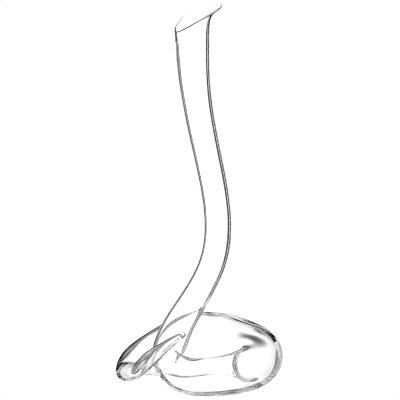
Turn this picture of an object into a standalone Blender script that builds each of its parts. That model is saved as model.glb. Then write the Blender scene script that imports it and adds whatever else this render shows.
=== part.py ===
"""Coiled wine decanter: one hollow glass tube, modelled as eight wall sections.

The vessel is a single tube of clear glass.  From the slanted pouring lip it runs
down an S-shaped neck, bends at the heel towards the front, passes along the
front, swells round the right-hand side and the back, and narrows round the left
to a closed tail that rises in front of the heel.

Frame: origin on the table plane under the middle of the coil, +Z up, +X right,
towards the pouring tip, and +Y towards the back run.
Every section is lofted from rings that are bridged one to the next; two
neighbouring sections share their seam ring exactly, as a fused joint does.
"""
import math
from collections import namedtuple

import bmesh
import bpy
import numpy as np
from mathutils import Matrix, Vector

MM = 0.001                     # all lengths below are in millimetres

# ------------------------------------------------------------------ dimensions
# Stations along the middle of the tube, from the throat down to the tail tip:
#     x, y, z, half width, half height (of the outside, across the tube)
STATIONS = np.array((
    # neck
    (-8.5, 7.2, 448.5, 22.0, 22.0),
    (-7.7, 6.2, 422.5, 21.1, 21.1),
    (-3.3, 5.2, 378.5, 19.4, 19.4),
    (4.8, 3.2, 331.5, 18.3, 18.3),
    (13.8, 1.2, 289.0, 17.8, 17.8),
    (21.6, -1.8, 246.0, 17.5, 17.5),
    (24.4, -4.8, 207.0, 17.5, 17.5),
    (19.1, -7.8, 168.0, 17.5, 17.5),
    (6.1, -9.8, 136.5, 17.5, 17.5),
    (-12.2, -10.8, 105.0, 18.6, 17.0),
    # heel, from station 10
    (-28.9, -12.3, 75.0, 20.6, 17.0),
    (-38.1, -16.3, 54.0, 21.0, 17.6),
    (-42.2, -27.8, 42.0, 19.0, 18.6),
    (-34.5, -42.8, 32.0, 18.7, 22.3),
    # front run, from station 14
    (-14.0, -60.8, 25.0, 19.7, 24.7),
    (14.1, -66.8, 25.2, 20.8, 25.4),
    (47.9, -58.8, 28.3, 21.9, 28.3),
    # right bend, from station 17
    (70.3, -34.5, 32.2, 26.1, 31.6),
    (73.7, -8.8, 36.5, 35.4, 36.1),
    (57.4, 22.2, 39.2, 40.8, 39.4),
    # back run, from station 20
    (21.0, 41.2, 42.5, 42.1, 42.5),
    (-21.3, 48.8, 38.1, 39.2, 38.9),
    (-56.6, 48.8, 28.8, 31.9, 29.7),
    # left bend, from station 23
    (-82.4, 38.8, 20.5, 23.6, 20.5),
    (-92.3, 17.2, 14.3, 16.8, 14.1),
    (-87.0, -12.8, 19.1, 12.7, 12.2),
    # tail, from station 26
    (-76.3, -42.5, 30.7, 10.4, 9.8),
    (-62.5, -63.1, 48.4, 8.5, 10.4),
    (-46.8, -70.4, 63.0, 6.7, 7.9),
    (-29.0, -67.8, 76.3, 4.8, 5.5),
    (-20.7, -65.5, 80.4, 4.1, 4.1),
))
LAST_STATION = len(STATIONS) - 1
MIN_HALF_SIZE = 4.0            # the tube never gets thinner than this

# Wall thickness: station number, thickness; linear in between
WALL = ((0, 3.4), (3, 3.6), (6, 3.2), (8, 2.7), (10, 2.5), (12, 2.8), (14, 3.3),
        (17, 3.4), (20, 3.3), (22, 2.9), (24, 3.0), (26, 3.3), (28, 2.8), (30, 1.9))

# Tube sections from the throat down: name, station number where the section ends
TUBE_SECTIONS = (
    ("neck", 9.0),
    ("heel_bend", 13.0),
    ("coil_front", 16.2),
    ("coil_right", 19.0),
    ("coil_back", 22.0),
    ("tail_loop", 25.6),
    ("tail_tip", LAST_STATION),
)

# Mouth: a slanted, flared opening that runs out to a pouring tip at +X
MOUTH_X, MOUTH_Y = -0.9, 5.7   # middle of the rim in plan
MOUTH_HALF_LENGTH = 30.6       # rim, middle to tip
MOUTH_HALF_DEPTH = 22.7        # rim, front to back, halved, at its middle
MOUTH_TAPER = 7.7              # how much the half depth shrinks towards the tip
RIM_Z = 486.0                  # rim height at its middle
RIM_RISE = 15.75               # half of the straight cut's rise along X
RIM_DROOP = 4.75               # how far the rim's ends sit below the straight cut
RIM_TILT = 0.20                # slope of the rim down towards the front
LIP_WALL = 2.7                 # wall at the rim
CREST_SHARE = 0.35             # how far the rim's crest stands proud, in walls
FLARE_DELAY = 4.73             # larger: the flare starts higher up
FLARE_STEEPNESS = 1.9          # larger: the flare is more sudden
LIP_RINGS = (0.0, 0.2, 0.4, 0.58, 0.7, 0.79, 0.86, 0.92, 0.965, 1.0)   # height shares

TAIL_BORE_STOP = 3.0           # the bore's round end starts this far before the tube's
DOME_ANGLES = (25, 48, 68)     # degrees up the quarter circle of a round end
FOOT_SETTLE = 0.7              # glass this close to the table has settled flat on it

# ------------------------------------------------------------------ resolution
SEGMENTS = 28                  # points round every ring
STRAIGHT_STEP = 27.0           # a new ring comes once the last is further back than this
BEND_STEP = math.radians(12)   # or once the tube has turned more than this
MIN_RING_GAP = 4.0             # rings nearer than this to a section's or bore's end go
CURVE_SAMPLES = 1200           # fine samples along the middle line
UPRIGHT_SHARE = 0.62           # share of the samples where the cross-section is upright
SHARP_ANGLE = math.radians(50)

GLASS = {
    "Base Color": (0.93, 0.96, 0.95, 1.0),
    "Roughness": 0.02,
    "Metallic": 0.0,
    "IOR": 1.5,
    "Transmission Weight": 1.0,
}


# ------------------------------------------------------------------ design curve
def unit(vector):
    return vector / np.linalg.norm(vector)


def unit_across(vector, tangent):
    """Unit vector along the part of vector that is square to tangent."""
    return unit(vector - (vector @ tangent) * tangent)


def natural_spline(knots, values, places):
    """Natural cubic spline through values at knots, read at places."""
    count = len(knots)
    gap = np.diff(knots)
    matrix = np.eye(count)
    right = np.zeros_like(values)
    for i in range(1, count - 1):
        matrix[i, i - 1:i + 2] = gap[i - 1], 2 * (gap[i - 1] + gap[i]), gap[i]
        right[i] = 3 * ((values[i + 1] - values[i]) / gap[i]
                        - (values[i] - values[i - 1]) / gap[i - 1])
    square = np.linalg.solve(matrix, right)
    gap = gap[:, None]
    linear = np.diff(values, axis=0) / gap - gap * (2 * square[:-1] + square[1:]) / 3
    cubic = np.diff(square, axis=0) / (3 * gap)
    i = np.clip(np.searchsorted(knots, places, side="right") - 1, 0, count - 2)
    step = (places - knots[i])[:, None]
    return values[i] + linear[i] * step + square[i] * step ** 2 + cubic[i] * step ** 3


CrossSection = namedtuple("CrossSection", "centre half_width half_height tangent up side")


class Tube:
    """Middle line, half sizes, wall and frame of the tube by distance from the throat."""

    def __init__(self):
        steps = np.linalg.norm(np.diff(STATIONS[:, :3], axis=0), axis=1)
        self.knots = np.concatenate([[0.0], np.cumsum(steps)])
        self.length = self.knots[-1]
        self.samples = np.linspace(0.0, self.length, CURVE_SAMPLES)
        rows = natural_spline(self.knots, STATIONS, self.samples)
        rows[:, 3:] = np.maximum(rows[:, 3:], MIN_HALF_SIZE)
        tangent = np.gradient(rows[:, :3], axis=0)
        tangent /= np.linalg.norm(tangent, axis=1, keepdims=True)
        # the frame is carried both ways along the tube without twist
        up = np.zeros_like(tangent)
        start = int(CURVE_SAMPLES * UPRIGHT_SHARE)
        up[start] = unit_across(np.array([0.0, 0.0, 1.0]), tangent[start])
        for i in range(start + 1, CURVE_SAMPLES):
            up[i] = unit_across(up[i - 1], tangent[i])
        for i in range(start - 1, -1, -1):
            up[i] = unit_across(up[i + 1], tangent[i])
        self.table = np.hstack((rows, tangent, up, np.cross(tangent, up)))

    def distance(self, station):
        return float(np.interp(station, np.arange(len(self.knots)), self.knots))

    def wall(self, distance):
        station = np.interp(distance, self.knots, np.arange(len(self.knots)))
        return float(np.interp(station, *zip(*WALL)))

    def cross_section(self, distance):
        row = np.array([np.interp(distance, self.samples, column) for column in self.table.T])
        return CrossSection(row[:3], row[3], row[4],
                            unit(row[5:8]), unit(row[8:11]), unit(row[11:14]))

    def ring_matrix(self, distance, inset=0.0, dome_angle=0.0):
        """Places a unit circle as the cross-section, shrunk by inset.

        A dome angle (degrees) moves it on and shrinks it along a quarter circle.
        """
        section = self.cross_section(distance)
        angle = math.radians(dome_angle)
        shrink = math.cos(angle) * MM
        advance = section.tangent * (section.half_width - inset) * math.sin(angle)
        matrix = Matrix.Identity(4)
        matrix.col[0].xyz = Vector(section.side * (section.half_width - inset) * shrink)
        matrix.col[1].xyz = Vector(section.up * (section.half_height - inset) * shrink)
        matrix.col[2].xyz = Vector(section.tangent)
        matrix.col[3].xyz = Vector((section.centre + advance) * MM)
        return matrix

    def ring_distances(self, first, last):
        """Ring places from station first to last: close in the bends, wide between."""
        start, end = self.distance(first), self.distance(last)
        places = [start]
        direction = self.cross_section(start).tangent
        for sample in self.samples[(self.samples > start) & (self.samples < end)]:
            tangent = self.cross_section(sample).tangent
            turned = math.acos(max(-1.0, min(1.0, float(tangent @ direction))))
            if turned > BEND_STEP or sample - places[-1] > STRAIGHT_STEP:
                places.append(float(sample))
                direction = tangent
        if end - places[-1] < MIN_RING_GAP and len(places) > 1:
            places.pop()
        return places + [end]


# ------------------------------------------------------------------ modelling
# A ring is a pair: its vertices in order, and its edges.  A skin is a list of rings.
def add_ring(bm, matrix):
    verts = bmesh.ops.create_circle(bm, cap_ends=False, segments=SEGMENTS,
                                    radius=1.0, matrix=matrix)["verts"]
    return verts, list({edge for vert in verts for edge in vert.link_edges})


def add_ring_through(bm, points):
    ring = add_ring(bm, Matrix.Identity(4))
    for vert, point in zip(ring[0], points):
        vert.co = Vector(point * MM)
    return ring


def bridge_skin(bm, skin):
    for ring, following in zip(skin, skin[1:]):
        bmesh.ops.bridge_loops(bm, edges=ring[1] + following[1])


def close_wall(bm, ring_a, ring_b):
    """Quads point to point between two rings across the wall."""
    a, b = ring_a[0], ring_b[0]
    for k in range(SEGMENTS):
        n = (k + 1) % SEGMENTS
        bm.faces.new((a[k], a[n], b[n], b[k]))


def rest_flat(skin):
    """The underside is flat where the vessel stands on the table."""
    for verts, _ in skin:
        for vert in verts:
            if vert.co.z < FOOT_SETTLE * MM:
                vert.co.z = 0.0


def tube_section(tube, first, last):
    closed = last == LAST_STATION
    bm = bmesh.new()
    places = bore_places = tube.ring_distances(first, last)
    if closed:
        bore_end = tube.length - TAIL_BORE_STOP
        bore_places = [d for d in places if d < bore_end - MIN_RING_GAP]
    outer = [add_ring(bm, tube.ring_matrix(d)) for d in places]
    inner = [add_ring(bm, tube.ring_matrix(d, tube.wall(d))) for d in bore_places]
    rest_flat(outer)
    if closed:
        # round ends for the glass outside and for the bore inside
        outer += [add_ring(bm, tube.ring_matrix(tube.length, dome_angle=angle))
                  for angle in DOME_ANGLES]
        inner += [add_ring(bm, tube.ring_matrix(bore_end, tube.wall(bore_end), angle))
                  for angle in (0,) + DOME_ANGLES]
        for skin in (outer, inner):
            bmesh.ops.contextual_create(bm, geom=skin[-1][1])
    for skin in (outer, inner):
        bridge_skin(bm, skin)
    close_wall(bm, outer[0], inner[0])
    if not closed:
        close_wall(bm, outer[-1], inner[-1])
    return bm


def rim_point(azimuth):
    along, across = math.cos(azimuth), math.sin(azimuth)
    depth = (MOUTH_HALF_DEPTH - MOUTH_TAPER * along) * across
    height = RIM_RISE * along - RIM_DROOP * along * along + RIM_TILT * depth
    return MOUTH_X + MOUTH_HALF_LENGTH * along, MOUTH_Y + depth, RIM_Z + height


def flare(share):
    """Share of the flare reached at a height share: slow, then fast, then easing."""
    if share <= 0.0:
        return 0.0
    return 1.0 / (1.0 + (FLARE_DELAY * (1.0 - share) / share) ** FLARE_STEEPNESS)


def lip_points(tube):
    """Outer ring coordinates of the lip, from the neck seam up to the rim."""
    seam = tube.cross_section(0.0)
    angles = [2 * math.pi * k / SEGMENTS for k in range(SEGMENTS)]
    foot = np.array([seam.centre + seam.side * seam.half_width * math.cos(a)
                     + seam.up * seam.half_height * math.sin(a) for a in angles])
    rim = np.array([rim_point(math.atan2(y, x)) for x, y, _ in foot - seam.centre])
    # straight on from the neck to the rim's height, then out to the rim by the flare
    growth = -seam.tangent / abs(seam.tangent[2])
    straight = growth * (rim[:, 2:] - foot[:, 2:])
    spread = rim - (foot + straight)
    return np.array([foot + straight * s + spread * flare(s) for s in LIP_RINGS])


def outward_normals(points):
    """Unit normals of a grid of rings, pointing away from each ring's middle."""
    along = np.gradient(points, axis=0)
    around = np.roll(points, -1, 1) - np.roll(points, 1, 1)
    normal = np.cross(along, around)
    normal /= np.linalg.norm(normal, axis=2, keepdims=True)
    from_middle = points - points.mean(axis=1, keepdims=True)
    return normal * np.sign((normal * from_middle).sum(axis=2, keepdims=True))


def lip_section(tube):
    points = lip_points(tube)
    normals = outward_normals(points)
    seam_wall = tube.wall(0.0)
    bm = bmesh.new()
    outer = [add_ring(bm, tube.ring_matrix(0.0))]
    inner = [add_ring(bm, tube.ring_matrix(0.0, seam_wall))]
    for share, ring, normal in zip(LIP_RINGS[1:], points[1:], normals[1:]):
        wall = seam_wall + (LIP_WALL - seam_wall) * share
        outer.append(add_ring_through(bm, ring))
        inner.append(add_ring_through(bm, ring - normal * wall))
    # fire-polished edge: one ring proud of the middle of the wall
    outwards = points[-1] - points[-2]
    outwards /= np.linalg.norm(outwards, axis=1, keepdims=True)
    crest = add_ring_through(bm, points[-1] - normals[-1] * LIP_WALL / 2
                             + outwards * LIP_WALL * CREST_SHARE)
    for skin in (outer, inner):
        bridge_skin(bm, skin)
    close_wall(bm, outer[-1], crest)
    close_wall(bm, crest, inner[-1])
    close_wall(bm, outer[0], inner[0])
    return bm


# ------------------------------------------------------------------ scene
def glass(name):
    material = bpy.data.materials.new(name)
    material.use_nodes = True
    shader = material.node_tree.nodes["Principled BSDF"]
    for socket, value in GLASS.items():
        shader.inputs[socket].default_value = value
    return material


def add_part(name, bm, collection, root):
    bmesh.ops.recalc_face_normals(bm, faces=bm.faces)
    mesh = bpy.data.meshes.new(name)
    bm.to_mesh(mesh)
    bm.free()
    mesh.shade_smooth()
    mesh.set_sharp_from_angle(angle=SHARP_ANGLE)
    mesh.materials.append(glass("glass_" + name))
    part = bpy.data.objects.new(name, mesh)
    collection.objects.link(part)
    part.parent = root


def main():
    for old in list(bpy.data.objects):
        bpy.data.objects.remove(old, do_unlink=True)
    collection = bpy.data.collections.new("coiled_wine_decanter")
    bpy.context.scene.collection.children.link(collection)
    root = bpy.data.objects.new("decanter_frame", None)
    collection.objects.link(root)

    tube = Tube()
    add_part("pouring_lip", lip_section(tube), collection, root)
    first = 0.0
    for name, last in TUBE_SECTIONS:
        add_part(name, tube_section(tube, first, last), collection, root)
        first = last


main()
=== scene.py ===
"""Coiled wine decanter of clear glass on a white table, in bright-field studio light.

The vessel stands on z = 0 with its mouth at the top and the high side of the rim towards +X.
From the neck the tube runs down to a heel, once round in a coil on the table and up into a
thin closed tail.  The wall sections of the CAD are built here as one seamless hollow mesh.
The camera looks along +Y and slightly down.

The vessel is worked out in millimetres and becomes metres when the mesh is made.
"""
import math

import bmesh
import bpy
import numpy as np
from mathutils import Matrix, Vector


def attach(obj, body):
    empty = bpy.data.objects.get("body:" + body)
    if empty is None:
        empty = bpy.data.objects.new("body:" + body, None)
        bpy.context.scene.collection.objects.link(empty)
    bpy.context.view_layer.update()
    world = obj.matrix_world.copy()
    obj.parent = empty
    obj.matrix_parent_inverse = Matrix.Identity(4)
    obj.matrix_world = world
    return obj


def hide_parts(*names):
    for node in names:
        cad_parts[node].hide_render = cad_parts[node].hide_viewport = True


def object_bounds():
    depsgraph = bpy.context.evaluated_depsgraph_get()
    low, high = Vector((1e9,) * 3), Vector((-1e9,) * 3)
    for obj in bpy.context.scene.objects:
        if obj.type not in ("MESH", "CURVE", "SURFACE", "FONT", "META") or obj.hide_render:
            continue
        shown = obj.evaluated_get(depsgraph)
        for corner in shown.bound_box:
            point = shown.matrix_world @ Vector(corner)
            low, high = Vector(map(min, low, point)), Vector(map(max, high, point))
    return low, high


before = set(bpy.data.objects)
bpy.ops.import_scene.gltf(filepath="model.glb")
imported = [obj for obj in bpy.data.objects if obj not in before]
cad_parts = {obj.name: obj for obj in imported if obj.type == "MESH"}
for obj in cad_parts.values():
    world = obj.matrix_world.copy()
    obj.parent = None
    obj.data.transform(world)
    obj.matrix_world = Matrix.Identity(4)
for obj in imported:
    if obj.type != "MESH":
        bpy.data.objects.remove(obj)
cad_box = [list(corner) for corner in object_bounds()]

MM = 0.001              # metres
SEGMENTS = 112          # points round the tube
PITCH = 2.2             # between rings along the tube
FINE_STEPS = 2400       # samples of the middle line
LEVEL_SHARE = 0.62      # share of the length where the tube's up is closest to vertical
LIP_RINGS = 25          # between the first station and the rim
RIM_STEPS = 12          # over the half round of the rim
END_STEPS = 8           # over the quarter round of a closed end

# ------------------------------------------------------------------ design curve
# Stations along the middle of the tube, from the throat down to the tail tip:
#     x,     y,     z, half width, half height (across the tube, outside)
STATIONS = np.array((
    (-8.5, 7.2, 448.5, 22.0, 22.0),
    (-7.7, 6.2, 422.5, 21.1, 21.1),
    (-3.3, 5.2, 378.5, 19.4, 19.4),
    (4.8, 3.2, 331.5, 18.3, 18.3),
    (13.8, 1.2, 289.0, 17.8, 17.8),
    (21.6, -1.8, 246.0, 17.5, 17.5),
    (24.4, -4.8, 207.0, 17.5, 17.5),
    (19.1, -7.8, 168.0, 17.5, 17.5),
    (6.1, -9.8, 136.5, 17.5, 17.5),
    (-12.2, -10.8, 105.0, 18.6, 17.0),
    (-28.9, -12.3, 75.0, 20.6, 17.0),
    (-38.1, -16.3, 54.0, 21.0, 17.6),
    (-42.2, -27.8, 42.0, 19.0, 18.6),
    (-34.5, -42.8, 32.0, 18.7, 22.3),
    (-14.0, -60.8, 25.0, 19.7, 24.7),
    (14.1, -66.8, 25.2, 20.8, 25.4),
    (47.9, -58.8, 28.3, 21.9, 28.3),
    (70.3, -34.5, 32.2, 26.1, 31.6),
    (73.7, -8.8, 36.5, 35.4, 36.1),
    (57.4, 22.2, 39.2, 40.8, 39.4),
    (21.0, 41.2, 42.5, 42.1, 42.5),
    (-21.3, 48.8, 38.1, 39.2, 38.9),
    (-56.6, 48.8, 28.8, 31.9, 29.7),
    (-82.4, 38.8, 20.5, 23.6, 20.5),
    (-92.3, 17.2, 14.3, 16.8, 14.1),
    (-87.0, -12.8, 19.1, 12.7, 12.2),
    (-76.3, -42.5, 30.7, 10.4, 9.8),
    (-62.5, -63.1, 48.4, 8.5, 10.4),
    (-46.8, -70.4, 63.0, 6.7, 7.9),
    (-29.0, -67.8, 76.3, 4.8, 5.5),
    (-20.7, -65.5, 80.4, 4.1, 4.1),
))
MIN_HALF_SIZE = 4.0

# ------------------------------------------------------------------ wall thickness
# WALL, HEAVY and UNEVEN give the thickness at station numbers, which count the rows of
# STATIONS from 0.  Many of the values are fitted to the look of the glass, so they are
# not measured thicknesses.

# Station, all round, extra underneath, extra on the +X side (and less on the -X side)
WALL = np.array((
    (0.0, 2.56, 0.0, -0.19), (4.0, 2.4, 0.0, 0.11), (5.0, 2.3, 0.0, 0.13),
    (6.0, 2.21, 0.0, 0.26), (7.0, 2.11, 0.0, 0.33), (8.0, 2.16, 0.0, 0.31),
    (9.0, 2.26, 0.0, 0.24), (10.0, 2.47, 0.0, 0.22), (12.0, 2.8, 0.8, 0.0),
    (13.5, 3.0, 2.2, 0.0), (15.0, 3.1, 2.8, 0.0), (16.5, 3.1, 2.4, 0.0),
    (18.0, 3.1, 1.6, 0.0), (20.0, 2.9, 1.2, 0.0), (22.0, 3.2, 0.6, 0.0),
    (23.0, 3.6, 0.3, 0.0), (24.0, 3.9, 0.2, 0.0), (25.0, 3.7, 0.0, 0.0),
    (26.0, 3.2, 0.0, 0.0), (27.0, 2.8, 0.0, 0.0), (28.0, 2.4, 0.0, 0.0),
    (30.0, 1.8, 0.0, 0.0),
))
# Heavier glass on one side: from station, to station, towards (x, y, z), extra, sharpness
HEAVY = (
    (16.68, 20.18, (1.076, 0.402, 0.344), 2.23, 1.82),
    (17.86, 20.33, (0.293, 0.957, 0.758), 9.98, 3.09),
)
HEAVY_FADE = 1.2        # power that shapes how heavy glass fades in and out along the tube
# How the coil varies: station, all round, then times the cosine and sine of the angle
# round the tube, then times the cosine and sine of twice the angle
UNEVEN = np.array((
    (0.0, 0.0, 0.0, 0.0, 0.0, 0.0),
    (6.0, 0.0, 0.0, 0.0, 0.0, 0.0),
    (11.0, 0.0, 0.0, 0.0, 0.0, 0.0),
    (12.5, 0.109, 0.343, 0.29, 0.546, -0.041),
    (14.0, -0.194, -0.935, 0.087, -0.766, 1.397),
    (15.5, -1.609, -0.177, -0.469, -0.661, 0.714),
    (17.0, -0.858, -0.484, -0.279, 0.726, -0.155),
    (18.5, -0.668, -1.031, -2.171, 0.52, 0.691),
    (20.0, -0.342, 0.236, 0.049, 0.393, -0.792),
    (21.2, -0.6, -0.433, 0.16, -0.95, -0.737),
    (22.4, 0.196, -0.716, 0.592, -0.005, -0.306),
    (23.6, 0.554, 0.436, 0.544, -0.697, -0.145),
    (24.8, -0.259, 0.115, -0.572, -0.002, -0.314),
    (26.0, 0.508, 0.414, 0.756, 0.42, 0.514),
    (27.5, -0.003, -0.191, -0.295, -0.003, 0.932),
    (29.0, 0.15, 0.37, -0.104, -0.3, -0.296),
    (31.0, 0.0, 0.0, 0.0, 0.0, 0.0),
))
UNEVEN_FROM, UNEVEN_FULL = 11.0, 12.5   # stations between which UNEVEN sets in
MIN_WALL = 1.2          # approached but never reached
THIN_WALL = 2.0         # thinner walls are eased towards MIN_WALL
WALL_RIPPLE = 0.03      # share of the thickness
WALL_SEED, SKIN_SEED = 1.7, 0.4
SKIN_INSET = 0.05       # the outer skin lies this far inside the design curve
SKIN_RIPPLE = 0.03

# ------------------------------------------------------------------ mouth, foot and ends
MOUTH_X, MOUTH_Y = -0.9, 5.7
MOUTH_HALF_LENGTH = 30.6            # along X
MOUTH_HALF_DEPTH = 22.7             # along Y
MOUTH_TAPER = 7.7                   # narrower at +X, wider at -X
RIM_Z = 486.0
RIM_RISE = 15.75                    # up at +X, down at -X
RIM_DROOP = 4.75                    # down at both ends
RIM_TILT = 0.20                     # up towards +Y, per millimetre
RIM_WALL = 0.9
RIM_DROP = 0.36 + 0.15 * RIM_WALL   # the half round starts this far below the sharp rim
FLARE_DELAY, FLARE_POWER = 4.73, 1.9    # how late and how sharply the lip opens
JOIN_REACH, JOIN_PASSES = 6, 30     # rings smoothed each side of the lip's foot, and how often

FOOT_FLAT, FOOT_FREE = 0.25, 1.6    # heights: flat on the table below, untouched above
BORE_SHORTER = 4.0                  # the bore's last ring is over this far from the tube's end
TAIL_ROUND, BORE_ROUND = 4.0, 2.4   # lengths of the rounded ends
BOX_MARGIN = 0.00008                # metres the glass is narrower than the CAD in X and Y

ANGLE = 2 * np.pi * np.arange(SEGMENTS) / SEGMENTS
COS, SIN = np.cos(ANGLE), np.sin(ANGLE)


def natural_spline(known, values, at):
    """Natural cubic spline through the rows of values at known, read at the points at."""
    count = len(known)
    gap = np.diff(known)
    matrix = np.eye(count)
    right = np.zeros((count, values.shape[1]))
    for i in range(1, count - 1):
        matrix[i, i - 1:i + 2] = gap[i - 1], 2 * (gap[i - 1] + gap[i]), gap[i]
        right[i] = 3 * ((values[i + 1] - values[i]) / gap[i]
                        - (values[i] - values[i - 1]) / gap[i - 1])
    square = np.linalg.solve(matrix, right)
    gap = gap[:, None]
    slope = (values[1:] - values[:-1]) / gap - gap * (2 * square[:-1] + square[1:]) / 3
    cube = (square[1:] - square[:-1]) / (3 * gap)
    i = np.clip(np.searchsorted(known, at, side="right") - 1, 0, count - 2)
    step = (at - known[i])[:, None]
    return values[i] + slope[i] * step + square[i] * step ** 2 + cube[i] * step ** 3


def read_table(known, table, at):
    """Straight-line reading of every column of the table."""
    return np.stack([np.interp(at, known, column) for column in table.T], axis=1)


def unit(vectors):
    return vectors / np.linalg.norm(vectors, axis=-1, keepdims=True)


def smoothstep(low, high, value):
    share = np.clip((value - low) / (high - low), 0.0, 1.0)
    return share * share * (3 - 2 * share)


def ripple(station, seed):
    """Slow unevenness of hand-worked glass, about -1 to 1, over length and round the tube.

    Three waves, going once, twice and three times round, that drift along the tube.
    """
    s, a = station[:, None], ANGLE[None, :]
    return (0.45 * np.sin(2.1 * s + seed) * np.cos(a + 0.7 * s + seed)
            + 0.30 * np.sin(3.7 * s - 1.3 * seed) * np.cos(2 * a - 0.9 * s)
            + 0.25 * np.cos(1.3 * s + 2.1 * seed) * np.sin(3 * a + 1.7 * s + seed))


# ------------------------------------------------------------------ the tube
def tube_frames():
    """For each ring: distance, station number, design row, direction, side and up.

    The side and up directions are carried along the tube without twist.
    """
    steps = np.linalg.norm(np.diff(STATIONS[:, :3], axis=0), axis=1)
    known = np.concatenate([[0.0], np.cumsum(steps)])
    fine = np.linspace(0.0, known[-1], FINE_STEPS)
    rows = natural_spline(known, STATIONS, fine)
    rows[:, 3:] = np.maximum(rows[:, 3:], MIN_HALF_SIZE)
    along = unit(np.gradient(rows[:, :3], axis=0))
    up = np.zeros_like(along)
    start = int(FINE_STEPS * LEVEL_SHARE)
    vertical = np.array([0.0, 0.0, 1.0])
    up[start] = unit(vertical - (vertical @ along[start]) * along[start])
    for order, back in ((range(start + 1, FINE_STEPS), -1), (range(start - 1, -1, -1), 1)):
        for i in order:
            up[i] = unit(up[i + back] - (up[i + back] @ along[i]) * along[i])
    side = np.cross(along, up)
    station = np.interp(fine, known, np.arange(len(known)))

    distance = np.linspace(0.0, known[-1], int(known[-1] / PITCH) + 1)
    directions = [unit(read_table(fine, table, distance)) for table in (along, side, up)]
    return (distance, np.interp(distance, fine, station),
            read_table(fine, rows, distance), *directions)


def wall_thickness(station, radial):
    """Thickness at every ring and angle; radial points out of the tube."""
    level, underneath, towards_x = read_table(WALL[:, 0], WALL[:, 1:], station).T[..., None]
    below = np.clip(-radial[..., 2], 0, 1) ** 2
    wall = level + underneath * below + towards_x * radial[..., 0]
    for first, last, towards, extra, sharpness in HEAVY:
        share = np.clip((station - first) / (last - first), 0, 1)
        share = np.sin(np.pi * share) ** HEAVY_FADE
        facing = np.clip(radial @ unit(np.array(towards)), 0, 1) ** sharpness
        wall = wall + extra * share[:, None] * facing
    uneven = natural_spline(UNEVEN[:, 0], UNEVEN[:, 1:], station)
    uneven = uneven * smoothstep(UNEVEN_FROM, UNEVEN_FULL, station)[:, None]
    waves = np.stack([np.ones(SEGMENTS), COS, SIN, np.cos(2 * ANGLE), np.sin(2 * ANGLE)])
    wall = wall + uneven @ waves
    ease = THIN_WALL - MIN_WALL
    wall = np.where(wall < THIN_WALL, MIN_WALL + ease * np.exp((wall - THIN_WALL) / ease), wall)
    return wall * (1 + WALL_RIPPLE * ripple(station, WALL_SEED))


def tube_rings():
    """Outer and inner rings from throat to tail, with middle points and directions."""
    distance, station, rows, along, side, up = tube_frames()

    def skin(inset):
        count = len(inset)
        width = rows[:count, 3, None] - inset
        height = rows[:count, 4, None] - inset
        return (rows[:count, None, :3] + side[:count, None] * (width * COS)[..., None]
                + up[:count, None] * (height * SIN)[..., None])

    radial = side[:, None] * COS[None, :, None] + up[:, None] * SIN[None, :, None]
    bore_count = np.count_nonzero(distance < distance[-1] - BORE_SHORTER)
    outer = skin(SKIN_INSET + SKIN_RIPPLE * ripple(station, SKIN_SEED))
    inner = skin(wall_thickness(station, radial)[:bore_count])
    return outer, inner, rows[:, :3], along


# ------------------------------------------------------------------ lip and rim
def rim_point(azimuth):
    """The sharp rim before it is rounded, at an angle from +X seen from above."""
    c, s = np.cos(azimuth), np.sin(azimuth)
    depth = (MOUTH_HALF_DEPTH - MOUTH_TAPER * c) * s
    return np.stack([MOUTH_X + MOUTH_HALF_LENGTH * c, MOUTH_Y + depth,
                     RIM_Z + RIM_RISE * c - RIM_DROOP * c * c + RIM_TILT * depth], axis=-1)


def lip_rings(foot, middle, along):
    """Outer rings of the lip, rim first, growing straight out of the throat and flaring."""
    azimuth = np.arctan2(foot[:, 1] - middle[1], foot[:, 0] - middle[0])
    tips = rim_point(azimuth)
    growth = -along / abs(along[2])
    rise = tips[:, 2] - foot[:, 2]
    opening = tips - (foot + growth * rise[:, None])

    def flare(share):
        return 1.0 / (1.0 + (FLARE_DELAY * (1.0 - share) / share) ** FLARE_POWER)

    shares = np.linspace(0, 1, LIP_RINGS + 1)[:0:-1]
    return np.array([foot + growth * (rise * share)[:, None] + opening * flare(share)
                     for share in shares])


def smooth_join(rings):
    """Make lip and neck one smooth run, in place."""
    k = np.arange(LIP_RINGS - JOIN_REACH, LIP_RINGS + JOIN_REACH + 1)
    for _ in range(JOIN_PASSES):
        rings[k] = 0.5 * rings[k] + 0.25 * (rings[k - 1] + rings[k + 1])


def inner_lip_rings(outer):
    """Inner rings of the lip, set in from the outer skin along its normals."""
    normal = unit(np.cross(np.gradient(outer, axis=0),
                           np.roll(outer, -1, 1) - np.roll(outer, 1, 1)))
    middle = outer.mean(axis=1, keepdims=True)
    normal *= np.sign((normal * (outer - middle)).sum(axis=2, keepdims=True))
    wall = np.interp(np.arange(LIP_RINGS), (0, LIP_RINGS), (RIM_WALL, WALL[0, 1]))[:, None]
    wall = wall * (1 + WALL_RIPPLE * ripple(np.zeros(1), WALL_SEED))
    return outer[:LIP_RINGS] - normal[:LIP_RINGS] * wall[..., None]


def round_rim(outer, inner):
    """Lower the top rings in place and return the half round from outer to inner skin."""
    climb = unit(outer[0] - outer[1])
    outer[0] = outer[0] - climb * RIM_DROP
    inner[0] = inner[0] - climb * RIM_DROP
    across = inner[0] - outer[0]
    centre = (inner[0] + outer[0]) / 2
    half = np.linalg.norm(across, axis=1, keepdims=True) / 2
    return [centre - unit(across) * half * math.cos(a) + climb * half * math.sin(a)
            for a in np.linspace(0, np.pi, RIM_STEPS + 1)[1:-1]]


def round_end(ring, forward, length):
    """Rings that close a tube in a quarter round, and the pole they close on."""
    middle = ring.mean(axis=0)
    rings = [middle + (ring - middle) * math.cos(a) + forward * length * math.sin(a)
             for a in np.linspace(0, np.pi / 2, END_STEPS + 1)[1:-1]]
    return rings, middle + forward * length


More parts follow.
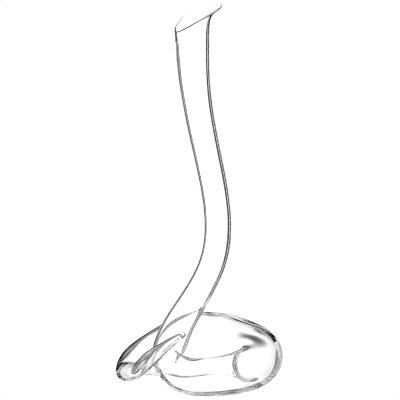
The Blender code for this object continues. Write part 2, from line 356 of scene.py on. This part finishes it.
# ------------------------------------------------------------------ the glass mesh
def glass_surface():
    """All rings in one chain, the inner and outer pole, and the number of the first rim ring.

    The chain runs from the bore's end up the inside, over the rim and down to the tail.
    """
    outer, inner, middle, along = tube_rings()
    bore_forward = along[len(inner) - 1]
    outer = np.concatenate([lip_rings(outer[0], middle[0], along[0]), outer])
    smooth_join(outer)
    inner = np.concatenate([inner_lip_rings(outer), inner])
    smooth_join(inner)

    # the foot has settled flat on the table
    z = outer[..., 2]
    outer[..., 2] = np.where(z < FOOT_FREE, z * smoothstep(FOOT_FLAT, FOOT_FREE, z), z)

    rim = round_rim(outer, inner)
    outer_end, outer_pole = round_end(outer[-1], along[-1], TAIL_ROUND)
    inner_end, inner_pole = round_end(inner[-1], bore_forward, BORE_ROUND)
    chain = [*inner_end[::-1], *inner[::-1], *rim[::-1], *outer, *outer_end]
    return chain, [inner_pole, outer_pole], len(inner_end) + len(inner)


def fit_in_box(points):
    """Centre the points on the CAD in X and Y and keep them a hair inside it, in place."""
    box = np.array(cad_box)
    low, high = points.min(axis=0), points.max(axis=0)
    for k in (0, 1):
        share = min(1.0, (box[1, k] - box[0, k] - BOX_MARGIN) / (high[k] - low[k]))
        points[:, k] = ((points[:, k] - (low[k] + high[k]) / 2) * share
                        + (box[0, k] + box[1, k]) / 2)


def chain_faces(rings):
    """Quads between neighbouring rings, then a fan of triangles at each pole."""
    pairs = [(i, (i + 1) % SEGMENTS) for i in range(SEGMENTS)]
    faces = []
    for a in range(0, (rings - 1) * SEGMENTS, SEGMENTS):
        b = a + SEGMENTS
        faces += [(a + i, a + j, b + j, b + i) for i, j in pairs]
    inner_pole = rings * SEGMENTS
    end = inner_pole - SEGMENTS
    faces += [(inner_pole, j, i) for i, j in pairs]
    faces += [(inner_pole + 1, end + i, end + j) for i, j in pairs]
    return faces


def build_glass():
    chain, poles, first_rim = glass_surface()
    points = np.concatenate([np.array(chain).reshape(-1, 3), poles]) * MM
    fit_in_box(points)
    mesh = bpy.data.meshes.new("decanter_glass")
    mesh.from_pydata(points.tolist(), [], chain_faces(len(chain)))
    mesh.validate()
    bm = bmesh.new()
    bm.from_mesh(mesh)
    bmesh.ops.recalc_face_normals(bm, faces=bm.faces)
    bm.to_mesh(mesh)
    bm.free()
    mesh.shade_smooth()
    # mark the rim, which the material makes satin
    ground = np.zeros(len(points), dtype=np.float32)
    ground[first_rim * SEGMENTS:(first_rim + RIM_STEPS - 1) * SEGMENTS] = 1.0
    mesh.attributes.new("ground", "FLOAT", "POINT").data.foreach_set("value", ground)
    return bpy.data.objects.new("decanter_glass", mesh)


# ------------------------------------------------------------------ node helpers
class Nodes:
    """An emptied node tree of a material or world, with short ways to fill it."""

    def __init__(self, owner):
        owner.use_nodes = True
        self.tree = owner.node_tree
        self.tree.nodes.clear()
        self.x = 0

    def add(self, kind, **values):
        node = self.tree.nodes.new(kind)
        node.location = (self.x, 0)
        self.x += 170
        for key, value in values.items():
            setattr(node, key, value)
        return node

    def set(self, node, **values):
        """Set inputs by name, with _ for a space."""
        for name, value in values.items():
            node.inputs[name.replace("_", " ")].default_value = value

    def link(self, output, socket):
        self.tree.links.new(output, socket)

    def math(self, operation, *values):
        node = self.add("ShaderNodeMath", operation=operation)
        for socket, value in zip(node.inputs, values):
            if isinstance(value, (int, float)):
                socket.default_value = value
            else:
                self.link(value, socket)
        return node.outputs[0]

    def ramp(self, value, start, stop, before, after):
        """Smooth step of value from before at start to after at stop."""
        node = self.add("ShaderNodeMapRange", interpolation_type="SMOOTHSTEP")
        self.set(node, From_Min=start, From_Max=stop, To_Min=before, To_Max=after)
        self.link(value, node.inputs["Value"])
        return node.outputs["Result"]

    def split(self, vector):
        node = self.add("ShaderNodeSeparateXYZ")
        self.link(vector, node.inputs[0])
        return node.outputs


# ------------------------------------------------------------------ studio light
# The lights as seen from the camera, in degrees right of the view direction and above it:
# brightness, (from, to, edge) across, (from, to, edge) upward.  Brightness fades over the
# edge on both sides of a limit; a limit 90 or more degrees out is left open.
LIGHTS = {
    "white_background": (1.22, (-14.67, 11.75, 2.51), (-32.3, 8.47, 2.91)),
    "overhead_panel": (1.09, (-10.52, -2.07, 4.0), (24.11, 42.12, 6.0)),
    "strip_light_right": (1.0, (40.63, 48.79, 3.0), (-24.0, 24.0, 8.0)),
    "dim_wall_left": (0.34, (-62.0, -36.96, 6.0), (-90.0, 90.0, 1.0)),
    "softbox_left": (1.08, (-190.0, -53.9, 8.0), (-90.0, 90.0, 1.0)),
    "softbox_right": (1.63, (84.23, 190.0, 10.0), (-90.0, 90.0, 1.0)),
    "white_table": (0.89, (-190.0, 190.0, 1.0), (-100.0, -22.5, 7.78)),
}
ROOM = 0.015            # what the dark parts of the room still send back
WORLD_SHARE = 0.8       # share of the brightness that the world gives the glass
TABLE_SHARE = 1.0       # and that the table gives it


def studio_level(n, share):
    """Brightness of the studio in the direction a ray goes, seen from the camera."""
    geometry = n.add("ShaderNodeNewGeometry")
    flip = n.add("ShaderNodeVectorMath", operation="SCALE")
    n.set(flip, Scale=-1.0)
    n.link(geometry.outputs["Incoming"], flip.inputs[0])
    turn = n.add("ShaderNodeVectorTransform", vector_type="VECTOR",
                 convert_from="WORLD", convert_to="CAMERA")
    n.link(flip.outputs[0], turn.inputs[0])
    x, y, z = n.split(turn.outputs[0])
    degrees = math.degrees(1.0)
    right = n.math("MULTIPLY", n.math("ARCTAN2", x, z), degrees)
    above = n.math("MULTIPLY", n.math("ARCSINE", y), degrees)

    def between(angle, start, stop, edge):
        """The ramps that limit a light one way, one for each closed limit."""
        ramps = []
        if start > -90:
            ramps.append(n.ramp(angle, start - edge, start + edge, before=0.0, after=1.0))
        if stop < 90:
            ramps.append(n.ramp(angle, stop - edge, stop + edge, before=1.0, after=0.0))
        return [n.math("MULTIPLY", *ramps)] if len(ramps) == 2 else ramps

    level = None
    for brightness, across, upward in LIGHTS.values():
        limits = between(right, *across) + between(above, *upward)
        lamp = n.math("MULTIPLY", *limits) if len(limits) == 2 else limits[0]
        lamp = n.math("MULTIPLY", lamp, brightness)
        level = lamp if level is None else n.math("MAXIMUM", level, lamp)
    level = n.math("ADD", level, ROOM)
    # what the lens sees directly is recorded as plain white, never more
    white = n.math("MINIMUM", level, 1.0)
    level = n.math("MULTIPLY", level, share)
    direct = n.add("ShaderNodeLightPath").outputs["Is Camera Ray"]
    return n.math("ADD", level, n.math("MULTIPLY", direct, n.math("SUBTRACT", white, level)))


def studio_world():
    world = bpy.data.worlds.new("bright_field_studio")
    bpy.context.scene.world = world
    n = Nodes(world)
    world.cycles.sampling_method = "NONE"
    level = studio_level(n, WORLD_SHARE)
    background = n.add("ShaderNodeBackground")
    n.set(background, Color=(1.0, 1.0, 1.0, 1.0))
    n.link(level, background.inputs["Strength"])
    out = n.add("ShaderNodeOutputWorld")
    n.link(background.outputs[0], out.inputs["Surface"])


def table_material():
    """Glows as bright as the studio in the direction it is seen."""
    material = bpy.data.materials.new("white_table")
    n = Nodes(material)
    level = studio_level(n, TABLE_SHARE)
    emission = n.add("ShaderNodeEmission")
    n.link(level, emission.inputs["Strength"])
    out = n.add("ShaderNodeOutputMaterial")
    n.link(emission.outputs[0], out.inputs["Surface"])
    return material


# ------------------------------------------------------------------ glass material
RIM_SATIN = 0.45        # roughness of the rim
FOOT_DULL = 0.16        # greatest roughness of the foot
SKIN_WAVES = 0.00003    # depth of the slow waves in the skin, metres
CORD_SHARE = 0.12       # height of the cords beside the waves
TINT = 0.8              # how strongly thick glass takes colour, per metre


def glass_material():
    """Clear hand-blown crystal: slow waves, faint cords, a worn foot, a trace of tint."""
    material = bpy.data.materials.new("blown_crystal")
    n = Nodes(material)
    place = n.add("ShaderNodeTexCoord").outputs["Object"]

    def noise(scale, detail, stretch=(1.0, 1.0, 1.0), distortion=0.0):
        mapping = n.add("ShaderNodeMapping")
        n.set(mapping, Scale=stretch)
        n.link(place, mapping.inputs["Vector"])
        node = n.add("ShaderNodeTexNoise")
        n.set(node, Scale=scale, Detail=detail, Distortion=distortion)
        n.link(mapping.outputs["Vector"], node.inputs["Vector"])
        return node.outputs[0]

    # the skin left by blowing and turning: waves a few centimetres long, finer cords on them
    waves = noise(scale=20.0, detail=1.0, stretch=(1.0, 1.0, 0.6))
    cords = noise(scale=70.0, detail=0.0, stretch=(1.0, 1.0, 0.3), distortion=0.6)
    skin = n.math("ADD", waves, n.math("MULTIPLY", cords, CORD_SHARE))
    bump = n.add("ShaderNodeBump")
    n.set(bump, Strength=1.0, Distance=SKIN_WAVES)
    n.link(skin, bump.inputs["Height"])

    # smooth everywhere but on the foot, rubbed dull by tables, and the satin rim
    height = n.split(place)[2]
    foot = n.ramp(height, start=0.00005, stop=0.0007, before=1.0, after=0.0)
    rubbed = n.ramp(noise(scale=900.0, detail=3.0), start=0.42, stop=0.62, before=0.3, after=1.0)
    worn = n.math("MULTIPLY", n.math("MULTIPLY", foot, rubbed), FOOT_DULL)
    rim = n.add("ShaderNodeAttribute", attribute_name="ground").outputs["Fac"]
    grit = n.ramp(noise(scale=1500.0, detail=2.0), start=0.3, stop=0.7, before=0.85, after=1.15)
    satin = n.math("MULTIPLY", n.math("MULTIPLY", rim, grit), RIM_SATIN)
    roughness = n.math("MAXIMUM", worn, satin)

    shader = n.add("ShaderNodeBsdfPrincipled")
    n.set(shader, Base_Color=(1.0, 1.0, 1.0, 1.0), IOR=1.5, Transmission_Weight=1.0)
    n.link(roughness, shader.inputs["Roughness"])
    n.link(bump.outputs["Normal"], shader.inputs["Normal"])

    # clear glass is never quite colourless where it is thick
    tint = n.add("ShaderNodeVolumeAbsorption")
    n.set(tint, Color=(0.72, 0.86, 0.84, 1.0), Density=TINT)
    out = n.add("ShaderNodeOutputMaterial")
    n.link(shader.outputs[0], out.inputs["Surface"])
    n.link(tint.outputs[0], out.inputs["Volume"])
    return material


# ------------------------------------------------------------------ scene, in metres
TABLE_SIZE = 40.0
TABLE_Z = -0.0003                       # just clear of the foot
CAMERA_TARGET = Vector((0.0013, 0.0152, 0.2405))
CAMERA_DISTANCE = 7.2
CAMERA_PITCH = math.radians(11.6)       # looking down
CAMERA_LENS, CAMERA_SENSOR = 501.2, 36.0    # millimetres
BOUNCES = 40                            # enough to pass every wall of the coil


def add_glass():
    glass = build_glass()
    bpy.context.scene.collection.objects.link(glass)
    glass.data.materials.append(glass_material())
    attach(glass, "root")
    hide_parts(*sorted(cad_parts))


def add_table():
    bpy.ops.mesh.primitive_plane_add(size=TABLE_SIZE, location=(0, 0, TABLE_Z))
    table = bpy.context.active_object
    table.name = "studio_table"
    table.data.materials.append(table_material())


def add_camera():
    data = bpy.data.cameras.new("camera")
    data.sensor_width = CAMERA_SENSOR
    data.lens = CAMERA_LENS
    data.clip_end = 100.0
    camera = bpy.data.objects.new("camera", data)
    bpy.context.scene.collection.objects.link(camera)
    away = Vector((0.0, -math.cos(CAMERA_PITCH), math.sin(CAMERA_PITCH)))
    camera.location = CAMERA_TARGET + away * CAMERA_DISTANCE
    camera.rotation_mode = "QUATERNION"
    camera.rotation_quaternion = (-away).to_track_quat("-Z", "Y")
    bpy.context.scene.camera = camera


def set_render():
    scene = bpy.context.scene
    scene.view_settings.view_transform = "Standard"
    scene.view_settings.look = "None"
    scene.view_settings.exposure = 0.0
    scene.view_settings.gamma = 1.0
    scene.cycles.filter_width = 1.0
    scene.cycles.max_bounces = BOUNCES
    scene.cycles.transmission_bounces = BOUNCES
    scene.cycles.glossy_bounces = BOUNCES
    scene.cycles.transparent_max_bounces = BOUNCES


add_glass()
add_table()
studio_world()
add_camera()
set_render()
